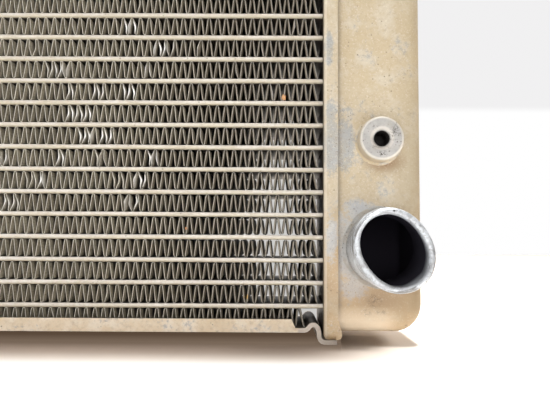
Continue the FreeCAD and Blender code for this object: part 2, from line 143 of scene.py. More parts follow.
# ------------------------------------------------------------------ materials
class Nodes:
    """A short way to write a material's nodes."""

    def __init__(self, name):
        self.mat = bpy.data.materials.new(name)
        self.mat.use_nodes = True
        self.nt = self.mat.node_tree
        self.nt.nodes.clear()
        self.out = self.nt.nodes.new("ShaderNodeOutputMaterial")
        self.bsdf = self.nt.nodes.new("ShaderNodeBsdfPrincipled")
        self.nt.links.new(self.bsdf.outputs[0], self.out.inputs[0])
        tc = self.nt.nodes.new("ShaderNodeTexCoord")
        self.obj = tc.outputs["Object"]
        sep = self.nt.nodes.new("ShaderNodeSeparateXYZ")
        self.nt.links.new(self.obj, sep.inputs[0])
        self.x, self.y, self.z = sep.outputs

    def put(self, socket, value):
        if isinstance(value, bpy.types.NodeSocket):
            self.nt.links.new(value, socket)
        elif isinstance(value, (tuple, list)) and len(value) == 3 and socket.type == "RGBA":
            socket.default_value = (*value, 1)
        else:
            socket.default_value = value

    def math(self, op, a, b=0.0, clamp=False):
        n = self.nt.nodes.new("ShaderNodeMath")
        n.operation = op
        n.use_clamp = clamp
        self.put(n.inputs[0], a)
        self.put(n.inputs[1], b)
        return n.outputs[0]

    def scaled(self, sx, sy=None, sz=None, shift=(0, 0, 0)):
        n = self.nt.nodes.new("ShaderNodeMapping")
        n.inputs["Scale"].default_value = (sx, sx if sy is None else sy, sx if sz is None else sz)
        n.inputs["Location"].default_value = shift
        self.nt.links.new(self.obj, n.inputs["Vector"])
        return n.outputs[0]

    def noise(self, scale, detail=4.0, rough=0.55, vec=None, distort=0.0, shift=(0, 0, 0)):
        n = self.nt.nodes.new("ShaderNodeTexNoise")
        n.inputs["Scale"].default_value = 1.0 if vec is None else scale
        n.inputs["Detail"].default_value = detail
        n.inputs["Roughness"].default_value = rough
        n.inputs["Distortion"].default_value = distort
        self.nt.links.new(self.scaled(scale, shift=shift) if vec is None else vec, n.inputs["Vector"])
        return n.outputs[0]

    def voronoi(self, scale, feature="F1", shift=(0, 0, 0), randomness=1.0):
        n = self.nt.nodes.new("ShaderNodeTexVoronoi")
        n.feature = feature
        n.inputs["Scale"].default_value = 1.0
        n.inputs["Randomness"].default_value = randomness
        self.nt.links.new(self.scaled(scale, shift=shift), n.inputs["Vector"])
        return n.outputs[0]

    def ramp(self, value, lo, hi, a=0.0, b=1.0, kind="SMOOTHSTEP"):
        n = self.nt.nodes.new("ShaderNodeMapRange")
        n.interpolation_type = kind
        self.put(n.inputs["Value"], value)
        n.inputs["From Min"].default_value = lo
        n.inputs["From Max"].default_value = hi
        n.inputs["To Min"].default_value = a
        n.inputs["To Max"].default_value = b
        return n.outputs[0]

    def mix(self, factor, a, b, blend="MIX"):
        n = self.nt.nodes.new("ShaderNodeMix")
        n.data_type = "RGBA"
        n.blend_type = blend
        self.put(n.inputs["Factor"], factor)
        self.put(n.inputs[6], a)
        self.put(n.inputs[7], b)
        return n.outputs[2]

    def blob(self, centre_mm, radius_mm, soft=0.6):
        """1 inside an ellipsoid, fading out over its outer part."""
        n = self.nt.nodes.new("ShaderNodeMapping")
        n.vector_type = "POINT"
        s = [1.0 / (r * MM) for r in radius_mm]
        n.inputs["Scale"].default_value = s
        n.inputs["Location"].default_value = [-c * MM * k for c, k in zip(centre_mm, s)]
        self.nt.links.new(self.obj, n.inputs["Vector"])
        l = self.nt.nodes.new("ShaderNodeVectorMath")
        l.operation = "LENGTH"
        self.nt.links.new(n.outputs[0], l.inputs[0])
        return self.ramp(l.outputs["Value"], 1.0, 1.0 - soft)

    def inward(self, centre_mm):
        """1 on faces that look towards a point, such as the inner walls of a tank."""
        g = self.nt.nodes.new("ShaderNodeNewGeometry")
        sub = self.nt.nodes.new("ShaderNodeVectorMath")
        sub.operation = "SUBTRACT"
        self.nt.links.new(self.obj, sub.inputs[0])
        sub.inputs[1].default_value = [c * MM for c in centre_mm]
        dot = self.nt.nodes.new("ShaderNodeVectorMath")
        dot.operation = "DOT_PRODUCT"
        self.nt.links.new(sub.outputs[0], dot.inputs[0])
        self.nt.links.new(g.outputs["True Normal"], dot.inputs[1])
        return self.math("LESS_THAN", dot.outputs["Value"], 0.0)

    def both(self, *values):
        out = values[0]
        for v in values[1:]:
            out = self.math("MULTIPLY", out, v)
        return out

    def absolute(self, value, shift=0.0):
        return self.math("ABSOLUTE", self.math("SUBTRACT", value, shift))

    def radius(self, u, v):
        """Distance from an axis, from two offsets, in millimetres."""
        return self.math("MULTIPLY", self.math("SQRT", self.math("ADD", self.math("MULTIPLY", u, u), self.math("MULTIPLY", v, v))), 1000.0)

    def bump(self, height, strength=0.3, distance_mm=0.1, normal=None):
        n = self.nt.nodes.new("ShaderNodeBump")
        n.inputs["Strength"].default_value = strength
        n.inputs["Distance"].default_value = distance_mm * MM
        self.put(n.inputs["Height"], height)
        if normal is not None:
            self.nt.links.new(normal, n.inputs["Normal"])
        return n.outputs[0]

    def finish(self, color, rough, metal, normal=None, **more):
        self.put(self.bsdf.inputs["Base Color"], color)
        self.put(self.bsdf.inputs["Roughness"], rough)
        self.put(self.bsdf.inputs["Metallic"], metal)
        if normal is not None:
            self.nt.links.new(normal, self.bsdf.inputs["Normal"])
        for k, v in more.items():
            self.put(self.bsdf.inputs[k.replace("_", " ")], v)
        return self.mat


def srgb(r, g, b):
    return tuple(((c / 255) / 12.92 if c / 255 <= 0.04045 else ((c / 255 + 0.055) / 1.055) ** 2.4) for c in (r, g, b))


TAN = srgb(198, 175, 143)
TAN_WARM = srgb(191, 164, 128)
TAN_PALE = srgb(203, 190, 166)
GREY = srgb(166, 164, 157)
GREY_BLUE = srgb(163, 166, 168)
CORE_SHADE = srgb(64, 54, 45)


def tan_film(name, grey_spots=(), dark_spots=(), painted_shadow_spots=(), grey_level=0.60, shift=0.0, tank=None, header=False, rail=False):
    """Beige oxide film on sheet aluminium: mottled, worn to blue-grey in patches, with scratches and pits."""
    m = Nodes(name)
    s = (shift, shift * 1.7, shift * 0.6)
    broad = m.noise(26, 3, 0.5, shift=s)
    mid = m.noise(120, 5, 0.62, shift=s)
    fine = m.noise(620, 4, 0.7, shift=s)
    speck = m.noise(1500, 2, 0.6, shift=s)
    if rail:
        colour = m.mix(m.ramp(broad, 0.36, 0.66), srgb(225, 208, 182), srgb(215, 194, 163))
        colour = m.mix(m.ramp(mid, 0.44, 0.66, 0, 0.75), colour, srgb(238, 228, 212))
    else:
        # the film is painted yellower low down, standing in for warm light bounced up from the floor
        high = m.ramp(m.z, 0.020, 0.070)
        colour = m.mix(m.ramp(broad, 0.36, 0.66), m.mix(high, TAN, srgb(195, 183, 160)), m.mix(high, TAN_WARM, srgb(189, 173, 144)))
        colour = m.mix(m.ramp(mid, 0.44, 0.70, 0, 0.7), colour, m.mix(high, TAN_PALE, srgb(204, 196, 180)))
    # worn patches: where the noise is high, and more so inside the stated spots; their edges break up into specks
    wear = m.noise(48, 4, 0.6, distort=0.4, shift=(3 + shift, 1, 5))
    near = None
    for c, r in grey_spots:
        b = m.blob(c, r, 0.75)
        near = b if near is None else m.math("MAXIMUM", near, b)
    level = m.math("ADD", wear, m.math("MULTIPLY", near, 0.43) if near is not None else 0.0)
    level = m.math("ADD", level, m.math("MULTIPLY", m.math("SUBTRACT", mid, 0.5), 0.75))
    level = m.math("ADD", level, m.math("MULTIPLY", m.math("SUBTRACT", fine, 0.5), 0.95))
    worn = m.ramp(level, grey_level, grey_level + 0.28)
    grey = m.mix(m.ramp(mid, 0.38, 0.62), GREY, GREY_BLUE)
    grey = m.mix(m.ramp(m.z, 0.070, 0.050), grey, m.mix(m.ramp(mid, 0.38, 0.62), srgb(194, 194, 192), srgb(184, 187, 191)))
    colour = m.mix(m.math("MULTIPLY", worn, 0.92), colour, grey)
    grime = m.ramp(m.noise(170, 5, 0.72, shift=(9, shift, 2)), 0.56, 0.80, 0, 0.42)
    colour = m.mix(grime, colour, srgb(150, 128, 100))
    # painted shadows: brown patches below things that stand out from the face, such as the boss and the pipe
    for c, r, a in painted_shadow_spots:
        colour = m.mix(m.math("MULTIPLY", m.blob(c, r, 0.9), a), colour, srgb(142, 117, 88))
    pits = m.ramp(m.voronoi(420, shift=(shift, 4, 7)), 0.20, 0.05)
    pit_mask = m.math("MULTIPLY", pits, m.math("MAXIMUM", m.ramp(m.noise(75, 3, 0.6, shift=(1, 8, shift)), 0.52, 0.64), m.math("MULTIPLY", worn, 0.6)))
    pepper = m.both(m.ramp(m.noise(1900, 3, 0.65, shift=(4, shift, 1)), 0.60, 0.68), m.math("ADD", m.math("MULTIPLY", worn, 0.8), 0.12))
    scratch = m.noise(1.0, 2, 0.5, vec=m.scaled(130, 130, 1500))
    scratch = m.math("MULTIPLY", m.ramp(scratch, 0.70, 0.76), m.ramp(m.noise(45, 2, 0.5, shift=(2, 2, 9)), 0.5, 0.6))
    dark = m.math("MAXIMUM", m.math("MAXIMUM", pit_mask, pepper), m.math("MULTIPLY", scratch, 0.35))
    for c, r in dark_spots:
        dark = m.math("MAXIMUM", dark, m.math("MULTIPLY", m.blob(c, r, 0.8), m.ramp(m.noise(700, 5, 0.75, distort=1.0), 0.46, 0.56)))
    colour = m.mix(m.math("MULTIPLY", dark, 0.72), colour, srgb(88, 76, 64))
    # fine grain, darker and lighter
    colour = m.mix(m.ramp(fine, 0.45, 0.72, 0.0, 0.30), colour, srgb(164, 142, 112))
    colour = m.mix(m.ramp(speck, 0.56, 0.70, 0.0, 0.35), colour, srgb(224, 216, 202))
    rough = m.math("ADD", m.ramp(mid, 0.3, 0.7, 0.50, 0.62), m.math("MULTIPLY", worn, -0.08))
    height = m.math("ADD", m.math("MULTIPLY", fine, 0.6), m.math("MULTIPLY", mid, 0.8))
    height = m.math("SUBTRACT", height, m.math("MULTIPLY", dark, 0.8))
    height = m.math("SUBTRACT", height, m.math("MULTIPLY", worn, 0.15))
    metal = m.ramp(worn, 0, 1, 0.06, 0.25)
    if not rail:
        # painted shade: darker towards the bottom, easing off at the very bottom edge
        low = m.both(m.ramp(m.z, 0.046, 0.020, 0.0, 0.42, kind="LINEAR"), m.ramp(m.z, 0.004, 0.013))
        colour = m.mix(low, colour, srgb(144, 122, 94))
    if tank is not None:
        # painted shade in the seam beside the header flange, and the inside of the tank painted dark as shade
        seam = m.ramp(m.math("MULTIPLY", m.absolute(m.x), 1000.0), 223.6, 221.4)
        colour = m.mix(m.math("MULTIPLY", seam, 0.30), colour, srgb(110, 94, 76))
        wide = m.math("MULTIPLY", m.absolute(m.x), 1000.0)
        # painted highlight: the bottom edge of the tank face is lighter, standing in for light bounced up from the
        # floor
        colour = m.mix(m.both(m.ramp(m.z, 0.012, 0.002, 0.0, 0.85, kind="LINEAR"), m.ramp(wide, 250.0, 238.0)), colour, srgb(242, 226, 202))
        # painted shade: darker towards the tank's outer end, most of all low down
        side = m.both(m.ramp(wide, 243.0, 257.5, 0.0, 0.62, kind="LINEAR"), m.ramp(m.z, 0.12, 0.07, 0.45, 1.0))
        colour = m.mix(side, colour, srgb(140, 124, 94))
        inside = m.inward(tank)
        colour = m.mix(inside, colour, srgb(50, 47, 56))
        metal = m.math("MULTIPLY", metal, m.math("SUBTRACT", 1.0, inside))
    if header:
        # painted shade: the core's side of the plate, between the tubes, and its faces inside the tank are painted near
        # black
        ax = m.math("MULTIPLY", m.absolute(m.x), 1000.0)
        core = m.both(m.ramp(ax, 215.9, 215.2), m.ramp(m.math("MULTIPLY", m.absolute(m.y), 1000.0), 20.2, 19.4))
        behind = m.both(m.ramp(ax, 216.4, 216.6), m.inward((235 if header > 0 else -235, 0, 166)))
        colour = m.mix(m.math("MAXIMUM", core, behind), colour, CORE_SHADE)
        # painted highlight along the bend at the plate's front edge
        edge = m.both(m.ramp(ax, 216.6, 215.9), m.ramp(m.math("MULTIPLY", m.absolute(m.y), 1000.0), 20.2, 21.0))
        colour = m.mix(m.math("MULTIPLY", edge, 0.45), colour, srgb(232, 222, 204))
    if rail:
        z = m.math("MULTIPLY", m.z, 1000.0)
        ay = m.math("MULTIPLY", m.absolute(m.y), 1000.0)
        # painted shade: the top face of the upper rail is darkened to tone down the overhead light
        colour = m.mix(m.ramp(z, 331.2, 331.8, 0.0, 0.55), colour, srgb(150, 132, 106))
        # painted shade: the inside of the channel is painted near black
        inside = m.both(m.ramp(ay, 17.7, 17.2), m.ramp(z, 0.6, 1.2), m.ramp(z, 331.4, 330.8))
        colour = m.mix(m.math("MULTIPLY", inside, 0.92), colour, srgb(52, 44, 38))
        ax = m.math("MULTIPLY", m.absolute(m.x), 1000.0)
        cut = m.both(m.ramp(ax, 203.2, 205.0), m.math("SUBTRACT", 1.0, inside))
        colour = m.mix(m.math("MULTIPLY", cut, 0.75), colour, m.mix(m.ramp(mid, 0.4, 0.6), srgb(196, 188, 182), srgb(176, 164, 158)))
    mat = m.finish(colour, rough, metal, m.bump(height, 0.40, 0.12))
    if tank is not None:
        m.put(m.bsdf.inputs["Specular IOR Level"], m.math("MULTIPLY", m.math("SUBTRACT", 1.0, inside), 0.5))
    return mat


def bare_metal(name, colour, rough=0.34, metal=0.9, pit=0.0, grain=(900, 900, 900), grain_amount=0.25, stain=None, lumps=0.0, special=None):
    """Bare worked aluminium or steel: fine grain, cloudy tone, small pits."""
    m = Nodes(name)
    cloud = m.noise(150, 5, 0.6)
    fine = m.noise(1.0, 4, 0.6, vec=m.scaled(*grain))
    c = m.mix(m.ramp(cloud, 0.3, 0.7), tuple(0.82 * v for v in colour), tuple(min(1.0, 1.08 * v) for v in colour))
    c = m.mix(m.ramp(fine, 0.35, 0.7, 0, 0.35), c, tuple(0.72 * v for v in colour))
    height = m.math("ADD", m.math("MULTIPLY", fine, grain_amount), m.math("MULTIPLY", cloud, 0.4 + lumps))
    if pit:
        pits = m.ramp(m.voronoi(800), 0.34, 0.08)
        pits = m.math("MULTIPLY", pits, m.ramp(m.noise(260, 4, 0.7), 0.46, 0.60))
        c = m.mix(m.math("MULTIPLY", pits, pit), c, srgb(70, 62, 55))
        height = m.math("SUBTRACT", height, m.math("MULTIPLY", pits, 1.4))
    if stain is not None:
        c = m.mix(m.ramp(m.noise(120, 4, 0.6, shift=(5, 5, 5)), 0.48, 0.62, 0, stain[1]), c, stain[0])
    r = m.ramp(cloud, 0.3, 0.7, rough - 0.05, rough + 0.09)
    if special is not None:
        c, r, metal = special(m, c, r, metal)
    return m.finish(c, r, metal, m.bump(height, 0.3, 0.08))


def in_pipe(m, c, r, metal):
    """A pipe's bore is painted darker with depth, as shade; dirt lies at the toe of its weld."""
    rad = m.radius(m.math("SUBTRACT", m.absolute(m.x), 0.2405), m.math("SUBTRACT", m.absolute(m.z, 0.166), 0.1294))
    y = m.math("MULTIPLY", m.y, 1000.0)
    # painted shade: the bore darkens with depth
    bore = m.both(m.ramp(rad, 15.6, 14.9), m.ramp(y, -44.1, -37.0, 0.12, 1.0, kind="LINEAR"))
    # ridges left by the hose around the outside, and dark specks towards the weld
    wall = m.ramp(rad, 15.7, 16.1)
    ridge = m.ramp(m.noise(1.0, 4, 0.65, vec=m.scaled(70, 1500, 70), distort=0.3), 0.44, 0.60)
    c = m.mix(m.both(wall, ridge), c, srgb(126, 125, 124))
    peck = m.both(wall, m.ramp(m.noise(1500, 4, 0.7, shift=(2, 3, 4)), 0.56, 0.64), m.ramp(m.noise(140, 3, 0.6), 0.44, 0.58))
    c = m.mix(m.math("MULTIPLY", peck, 0.8), c, srgb(84, 80, 76))
    toe = m.both(wall, m.ramp(y, -36.0, -23.0), m.ramp(m.noise(900, 5, 0.75, distort=0.8), 0.46, 0.56))
    c = m.mix(m.math("MULTIPLY", toe, 0.9), c, srgb(78, 74, 70))
    scuff = m.ramp(m.noise(1.0, 5, 0.7, vec=m.scaled(420, 900, 420), distort=0.8), 0.52, 0.66)
    c = m.mix(m.both(scuff, m.ramp(y, -38.0, -41.5, 0.35, 0.75)), c, srgb(118, 114, 110))
    # painted shade: a dark line in the groove behind the lip
    groove = m.both(wall, m.ramp(m.absolute(y, -41.1), 0.60, 0.25))
    c = m.mix(m.math("MULTIPLY", groove, 0.8), c, srgb(84, 83, 82))
    lip = m.both(m.ramp(rad, 16.2, 15.4), m.ramp(y, -43.3, -43.9), m.ramp(m.noise(330, 5, 0.7, distort=0.6), 0.40, 0.62, 0.25, 0.80))
    c = m.mix(lip, c, srgb(166, 168, 171))
    nick = m.both(m.ramp(m.noise(800, 4, 0.7, shift=(6, 1, 2)), 0.60, 0.66), m.ramp(m.noise(170, 3, 0.6, shift=(1, 5, 2)), 0.52, 0.62), m.ramp(y, -42.6, -43.4))
    nick = m.math("MAXIMUM", nick, m.blob((240.2, -44.2, 51.6), (0.55, 1.2, 0.5), 0.3))
    c = m.mix(m.math("MULTIPLY", nick, 0.85), c, srgb(60, 56, 54))
    # painted shade on the outer side of the lip and wall, away from the middle of the radiator
    c = m.mix(m.both(m.ramp(m.absolute(m.x), 0.2450, 0.2550, 0.0, 0.55), m.ramp(rad, 14.0, 15.4)), c, srgb(112, 112, 113))
    c = m.mix(bore, c, srgb(50, 48, 56))
    outside_bore = m.math("SUBTRACT", 1.0, bore)
    m.put(m.bsdf.inputs["Specular IOR Level"], m.math("MULTIPLY", outside_bore, 0.5))
    return c, r, m.math("MULTIPLY", outside_bore, metal)


def in_boss(m, c, r, metal):
    """A boss's side carries the tank's tan film; the rim of its face has a painted highlight and its hole is painted
    dark inside, as shade.
    """
    rad = m.radius(m.math("SUBTRACT", m.absolute(m.x), 0.239), m.math("SUBTRACT", m.absolute(m.z, 0.166), 0.0829))
    y = m.math("MULTIPLY", m.y, 1000.0)
    side = m.both(m.ramp(rad, 8.9, 9.3), m.ramp(y, -27.9, -27.3))
    c = m.mix(m.math("MULTIPLY", side, 0.85), c, srgb(200, 184, 156))
    # painted highlight around the rim of the face
    rim = m.both(m.ramp(rad, 8.1, 8.7), m.ramp(y, -27.3, -27.9))
    c = m.mix(m.math("MULTIPLY", rim, 0.55), c, srgb(226, 220, 208))
    ring = m.both(m.ramp(rad, 5.4, 4.7), m.ramp(rad, 3.5, 4.0))
    c = m.mix(m.math("MULTIPLY", ring, 0.5), c, srgb(214, 208, 198))
    dirt = m.ramp(m.noise(900, 5, 0.75, distort=1.2), 0.50, 0.60)
    spots = m.math("MAXIMUM", m.blob((243.6, -28.3, 84.6), (2.4, 4, 4.2), 0.7), m.blob((238.6, -28.3, 76.6), (3.6, 4, 1.8), 0.7))
    spots = m.math("MAXIMUM", spots, m.math("MULTIPLY", m.ramp(m.noise(160, 3, 0.6), 0.5, 0.62), 0.7))
    c = m.mix(m.both(spots, dirt, m.math("SUBTRACT", 1.0, side)), c, srgb(72, 66, 60))
    # the hole is painted near black, as shade
    hole = m.both(m.ramp(rad, 4.1, 3.7), m.ramp(y, -27.9, -26.2))
    c = m.mix(hole, c, srgb(24, 20, 18))
    return c, r, m.math("MULTIPLY", m.math("SUBTRACT", 1.0, m.math("MAXIMUM", side, hole)), metal)


def rubber(name):
    m = Nodes(name)
    fine = m.noise(1400, 4, 0.6)
    c = m.mix(m.ramp(m.noise(200, 3, 0.5), 0.4, 0.7), (0.018, 0.018, 0.018), (0.045, 0.043, 0.04))
    return m.finish(c, m.ramp(fine, 0.3, 0.7, 0.6, 0.8), 0.0, m.bump(fine, 0.2, 0.05))


def tube_metal():
    m = Nodes("tube_aluminium")
    along = m.noise(1.0, 4, 0.65, vec=m.scaled(90, 300, 300))
    fine = m.noise(900, 4, 0.7)
    c = m.mix(m.ramp(along, 0.34, 0.66), srgb(216, 211, 203), srgb(202, 193, 176))
    c = m.mix(m.ramp(fine, 0.45, 0.74, 0, 0.4), c, srgb(176, 160, 132))
    spots = m.ramp(m.voronoi(330), 0.20, 0.06)
    spots = m.math("MULTIPLY", spots, m.ramp(m.noise(120, 3, 0.6), 0.5, 0.6))
    c = m.mix(m.math("MULTIPLY", spots, 0.7), c, srgb(112, 98, 78))
    # painted shade: the broad faces inside the core are painted dark; only the noses keep the metal's colour
    nose = m.ramp(m.math("MULTIPLY", m.absolute(m.y), 1000.0), 14.2, 15.2)
    # painted highlight along the top of the nose, and painted shade, yellow-grey, along its underside
    g = m.nt.nodes.new("ShaderNodeNewGeometry")
    sep = m.nt.nodes.new("ShaderNodeSeparateXYZ")
    m.nt.links.new(g.outputs["Normal"], sep.inputs[0])
    c = m.mix(m.ramp(sep.outputs["Z"], 0.10, -0.45, 0.0, 0.75, kind="LINEAR"), c, srgb(168, 158, 134))
    c = m.mix(m.ramp(sep.outputs["Z"], 0.25, 0.70, 0.0, 0.85, kind="LINEAR"), c, srgb(246, 240, 232))
    c = m.mix(nose, srgb(60, 53, 45), c)
    h = m.math("ADD", m.math("MULTIPLY", fine, 0.8), m.math("MULTIPLY", along, 0.5))
    return m.finish(c, m.ramp(fine, 0.3, 0.7, 0.36, 0.52), m.math("MULTIPLY", nose, 0.15), m.bump(h, 0.4, 0.08))


GRIT = [((197.7, -15.4, 103.9), srgb(214, 142, 74), 1.3), ((154.6, -15.4, 44.7), srgb(196, 96, 52), 1.2), ((181.5, -15.4, 15.0), srgb(206, 168, 100), 1.2)]


def fin_metal():
    m = Nodes("fin_aluminium")
    broad = m.noise(60, 4, 0.6)
    fine = m.noise(1200, 3, 0.6)
    ay = m.math("MULTIPLY", m.absolute(m.y), 1000.0)
    at = m.nt.nodes.new("ShaderNodeAttribute")
    at.attribute_name = "painted_glint"
    bent_glint = at.outputs["Fac"]
    face = m.mix(m.ramp(broad, 0.35, 0.65), srgb(184, 176, 156), srgb(163, 155, 136))
    # painted shade: the leg faces darken towards the core's ends
    face = m.mix(m.ramp(m.absolute(m.x), 0.100, 0.195), face, srgb(136, 126, 110))
    face = m.mix(m.ramp(fine, 0.4, 0.75, 0, 0.5), face, srgb(112, 100, 80))
    # painted shade: darker deeper into the core, darkest towards the core's ends
    c = m.mix(m.ramp(ay, 15.3, 9.0), face, m.mix(m.ramp(m.absolute(m.x), 0.110, 0.190), srgb(46, 41, 36), srgb(24, 21, 19)))
    # painted highlight along the front edges, greyer towards the core's ends
    edge = m.ramp(ay, 15.40, 15.56)
    c = m.mix(m.math("MULTIPLY", edge, 0.9), c, m.mix(m.ramp(m.absolute(m.x), 0.100, 0.195), srgb(240, 236, 225), srgb(186, 184, 177)))
    # painted glint on the fronts of knocked legs
    c = m.mix(bent_glint, c, srgb(252, 251, 248))
    for centre, colour, r in GRIT[2:]:
        c = m.mix(m.blob(centre, (r, 2.4, r), 0.2), c, colour)
    return m.finish(c, m.ramp(ay, 14.0, 15.6, 0.6, 0.38), m.math("MULTIPLY", bent_glint, 0.4), m.bump(fine, 0.3, 0.04))


M_TANK_R = tan_film("tan_tank_right", shift=0.0, tank=(236.4, 0, 166),
                    grey_spots=[((223, -20, 82), (8, 8, 22)), ((222.5, -20, 34), (8, 8, 30)), ((230, -20, 53), (13, 8, 8)), ((228, -20, 20), (8, 8, 12)), ((225.5, -20, 40), (9, 8, 20))],
                    dark_spots=[((233.3, -20, 8.9), (3.4, 4, 2.2)), ((239.5, -20, 9.2), (3.6, 4, 1.6)), ((250.6, -20, 3.4), (1.0, 6, 1.0)), ((237, -20, 14), (5, 4, 4))],
                    # painted shadows below the boss and the pipe, and low at the tank's outer end
                    painted_shadow_spots=[((241.0, -20, 74.5), (13, 8, 8), 1.0), ((241, -20, 15), (16, 8, 9), 0.6), ((255, -20, 20), (5, 12, 26), 0.35)])
M_TANK_L = tan_film("tan_tank_left", shift=11.0, tank=(-236.4, 0, 166), grey_spots=[((-223, -20, 255), (8, 8, 26)), ((-232, -20, 278), (13, 8, 10))])
M_HEADER_R = tan_film("tan_header_right", shift=5.0, grey_level=0.60, header=1, grey_spots=[((218, -22, 82), (6, 6, 24)), ((218, -22, 40), (4, 6, 16)), ((217, -22, 124), (3, 6, 12))])
M_HEADER_L = tan_film("tan_header_left", shift=6.0, grey_level=0.60, header=-1)
M_RAIL = tan_film("tan_rail", shift=7.0, grey_level=0.60, rail=True)
M_SEAM = tan_film("tan_weld", shift=9.0, grey_level=0.52)
M_TUBE = tube_metal()
M_FIN = fin_metal()
M_PIPE = bare_metal("pipe_aluminium", srgb(235, 241, 248), rough=0.40, metal=0.35, grain=(500, 2200, 500), pit=0.45, special=in_pipe)
M_NECK = bare_metal("neck_aluminium", srgb(203, 202, 200), rough=0.36, metal=0.6, grain=(600, 600, 2200), pit=0.2)
M_BOSS = bare_metal("boss_aluminium", srgb(180, 178, 175), rough=0.50, metal=0.2, pit=0.7, stain=(srgb(176, 166, 150), 0.35), special=in_boss)
M_BUNG = bare_metal("bung_aluminium", srgb(200, 194, 186), rough=0.42, metal=0.6, pit=0.3)
M_WELD = bare_metal("weld_aluminium", srgb(188, 187, 184), rough=0.44, metal=0.3, pit=0.75, lumps=0.8, stain=(srgb(176, 160, 136), 0.35))
M_STEEL = bare_metal("spring_steel", srgb(150, 152, 156), rough=0.3, metal=1.0)
M_CAP = bare_metal("cap_steel", srgb(196, 196, 198), rough=0.26, metal=1.0, grain=(1200, 1200, 200))
M_BRASS = bare_metal("valve_brass", srgb(188, 162, 108), rough=0.36, metal=1.0, pit=0.5, stain=(srgb(120, 96, 60), 0.4))
M_RUBBER = rubber("seal_rubber")


def dried_clay():
    m = Nodes("dried_clay")
    n = m.noise(900, 4, 0.6)
    c = m.mix(m.ramp(n, 0.35, 0.65), srgb(216, 166, 118), srgb(180, 124, 80))
    return m.finish(c, m.ramp(n, 0.3, 0.7, 0.75, 0.9), 0.0, m.bump(n, 0.5, 0.1))


M_CLAY = dried_clay()

for name, mat in {
    "right_tank": M_TANK_R, "left_tank": M_TANK_L, "right_header_plate": M_HEADER_R, "left_header_plate": M_HEADER_L,
    "bottom_side_plate": M_RAIL, "top_side_plate": M_RAIL, "filler_neck": M_NECK, "overflow_nipple": M_NECK,
    "cap_shell": M_CAP, "cap_rivet": M_CAP, "cap_diaphragm": M_STEEL, "valve_cage": M_STEEL,
    "pressure_plate": M_BRASS, "vacuum_valve": M_BRASS, "pressure_seal": M_RUBBER, "cap_gasket": M_RUBBER,
    "drain_bung": M_BUNG, "bleed_bung": M_BUNG, "drain_plug": M_BRASS, "bleed_screw": M_BRASS, "drain_o_ring": M_RUBBER, "bleed_washer": M_RUBBER,
}.items():
    for s in NODES[name].material_slots:
        s.material = mat

# ------------------------------------------------------------------ fins
# Every row is one folded strip with louvred legs and rounded folds.
FIN_FRONT = 15.7
LEG = 1.95
FOLD_R = 0.50
# knocked legs, as (row, from x, to x, how far, how bright their painted glint is)
KNOCKS = [
    (13, 126.4, 130.6, 0.9, 1.0), (12, 140.4, 144.6, 0.9, 1.0), (12, 146.6, 148.9, 0.6, 0.4), (12, 84.4, 86.0, 0.7, 0.1), (11, 91.4, 94.8, 0.8, 0.5),
    (11, 95.4, 99.0, 0.9, 1.0), (11, 99.2, 101.8, 0.9, 0.7), (11, 137.0, 138.4, 0.5, 0.5), (10, 100.4, 104.0, 0.9, 0.9), (10, 112.4, 117.4, 0.9, 0.8),
    (10, 126.4, 131.6, 0.9, 1.0), (9, 101.6, 105.2, 0.9, 1.0), (9, 107.4, 112.2, 1.0, 0.9), (8, 107.2, 113.4, 1.0, 0.8), (8, 116.2, 120.6, 1.0, 1.0),
    (7, 72.4, 75.2, 1.0, 0.8), (7, 96.8, 100.8, 0.9, 1.0), (7, 114.4, 120.2, 0.8, 0.2), (7, 137.8, 142.6, 0.9, 0.9), (6, 83.6, 88.4, 0.8, 0.3),
    (6, 88.8, 91.6, 1.0, 1.0), (6, 122.8, 127.6, 0.8, 0.2), (6, 132.6, 137.0, 1.1, 1.0), (5, 73.8, 80.0, 1.0, 0.7), (5, 129.6, 133.2, 1.9, 0.55),
]


def louvre_profile():
    """(y, sideways offset) from the front edge to the back edge of a leg."""
    p = [(-FIN_FRONT, 0.0), (-FIN_FRONT + 0.8, 0.0)]
    y = -FIN_FRONT + 0.95
    for k in range(3):
        p += [(y, -0.41), (y + 1.25, 0.41)]
        y += 1.42
    p += [(y + 0.1, 0.0)]
    return p + [(-a, -b) for a, b in p[::-1]]


LOUVRE = louvre_profile()


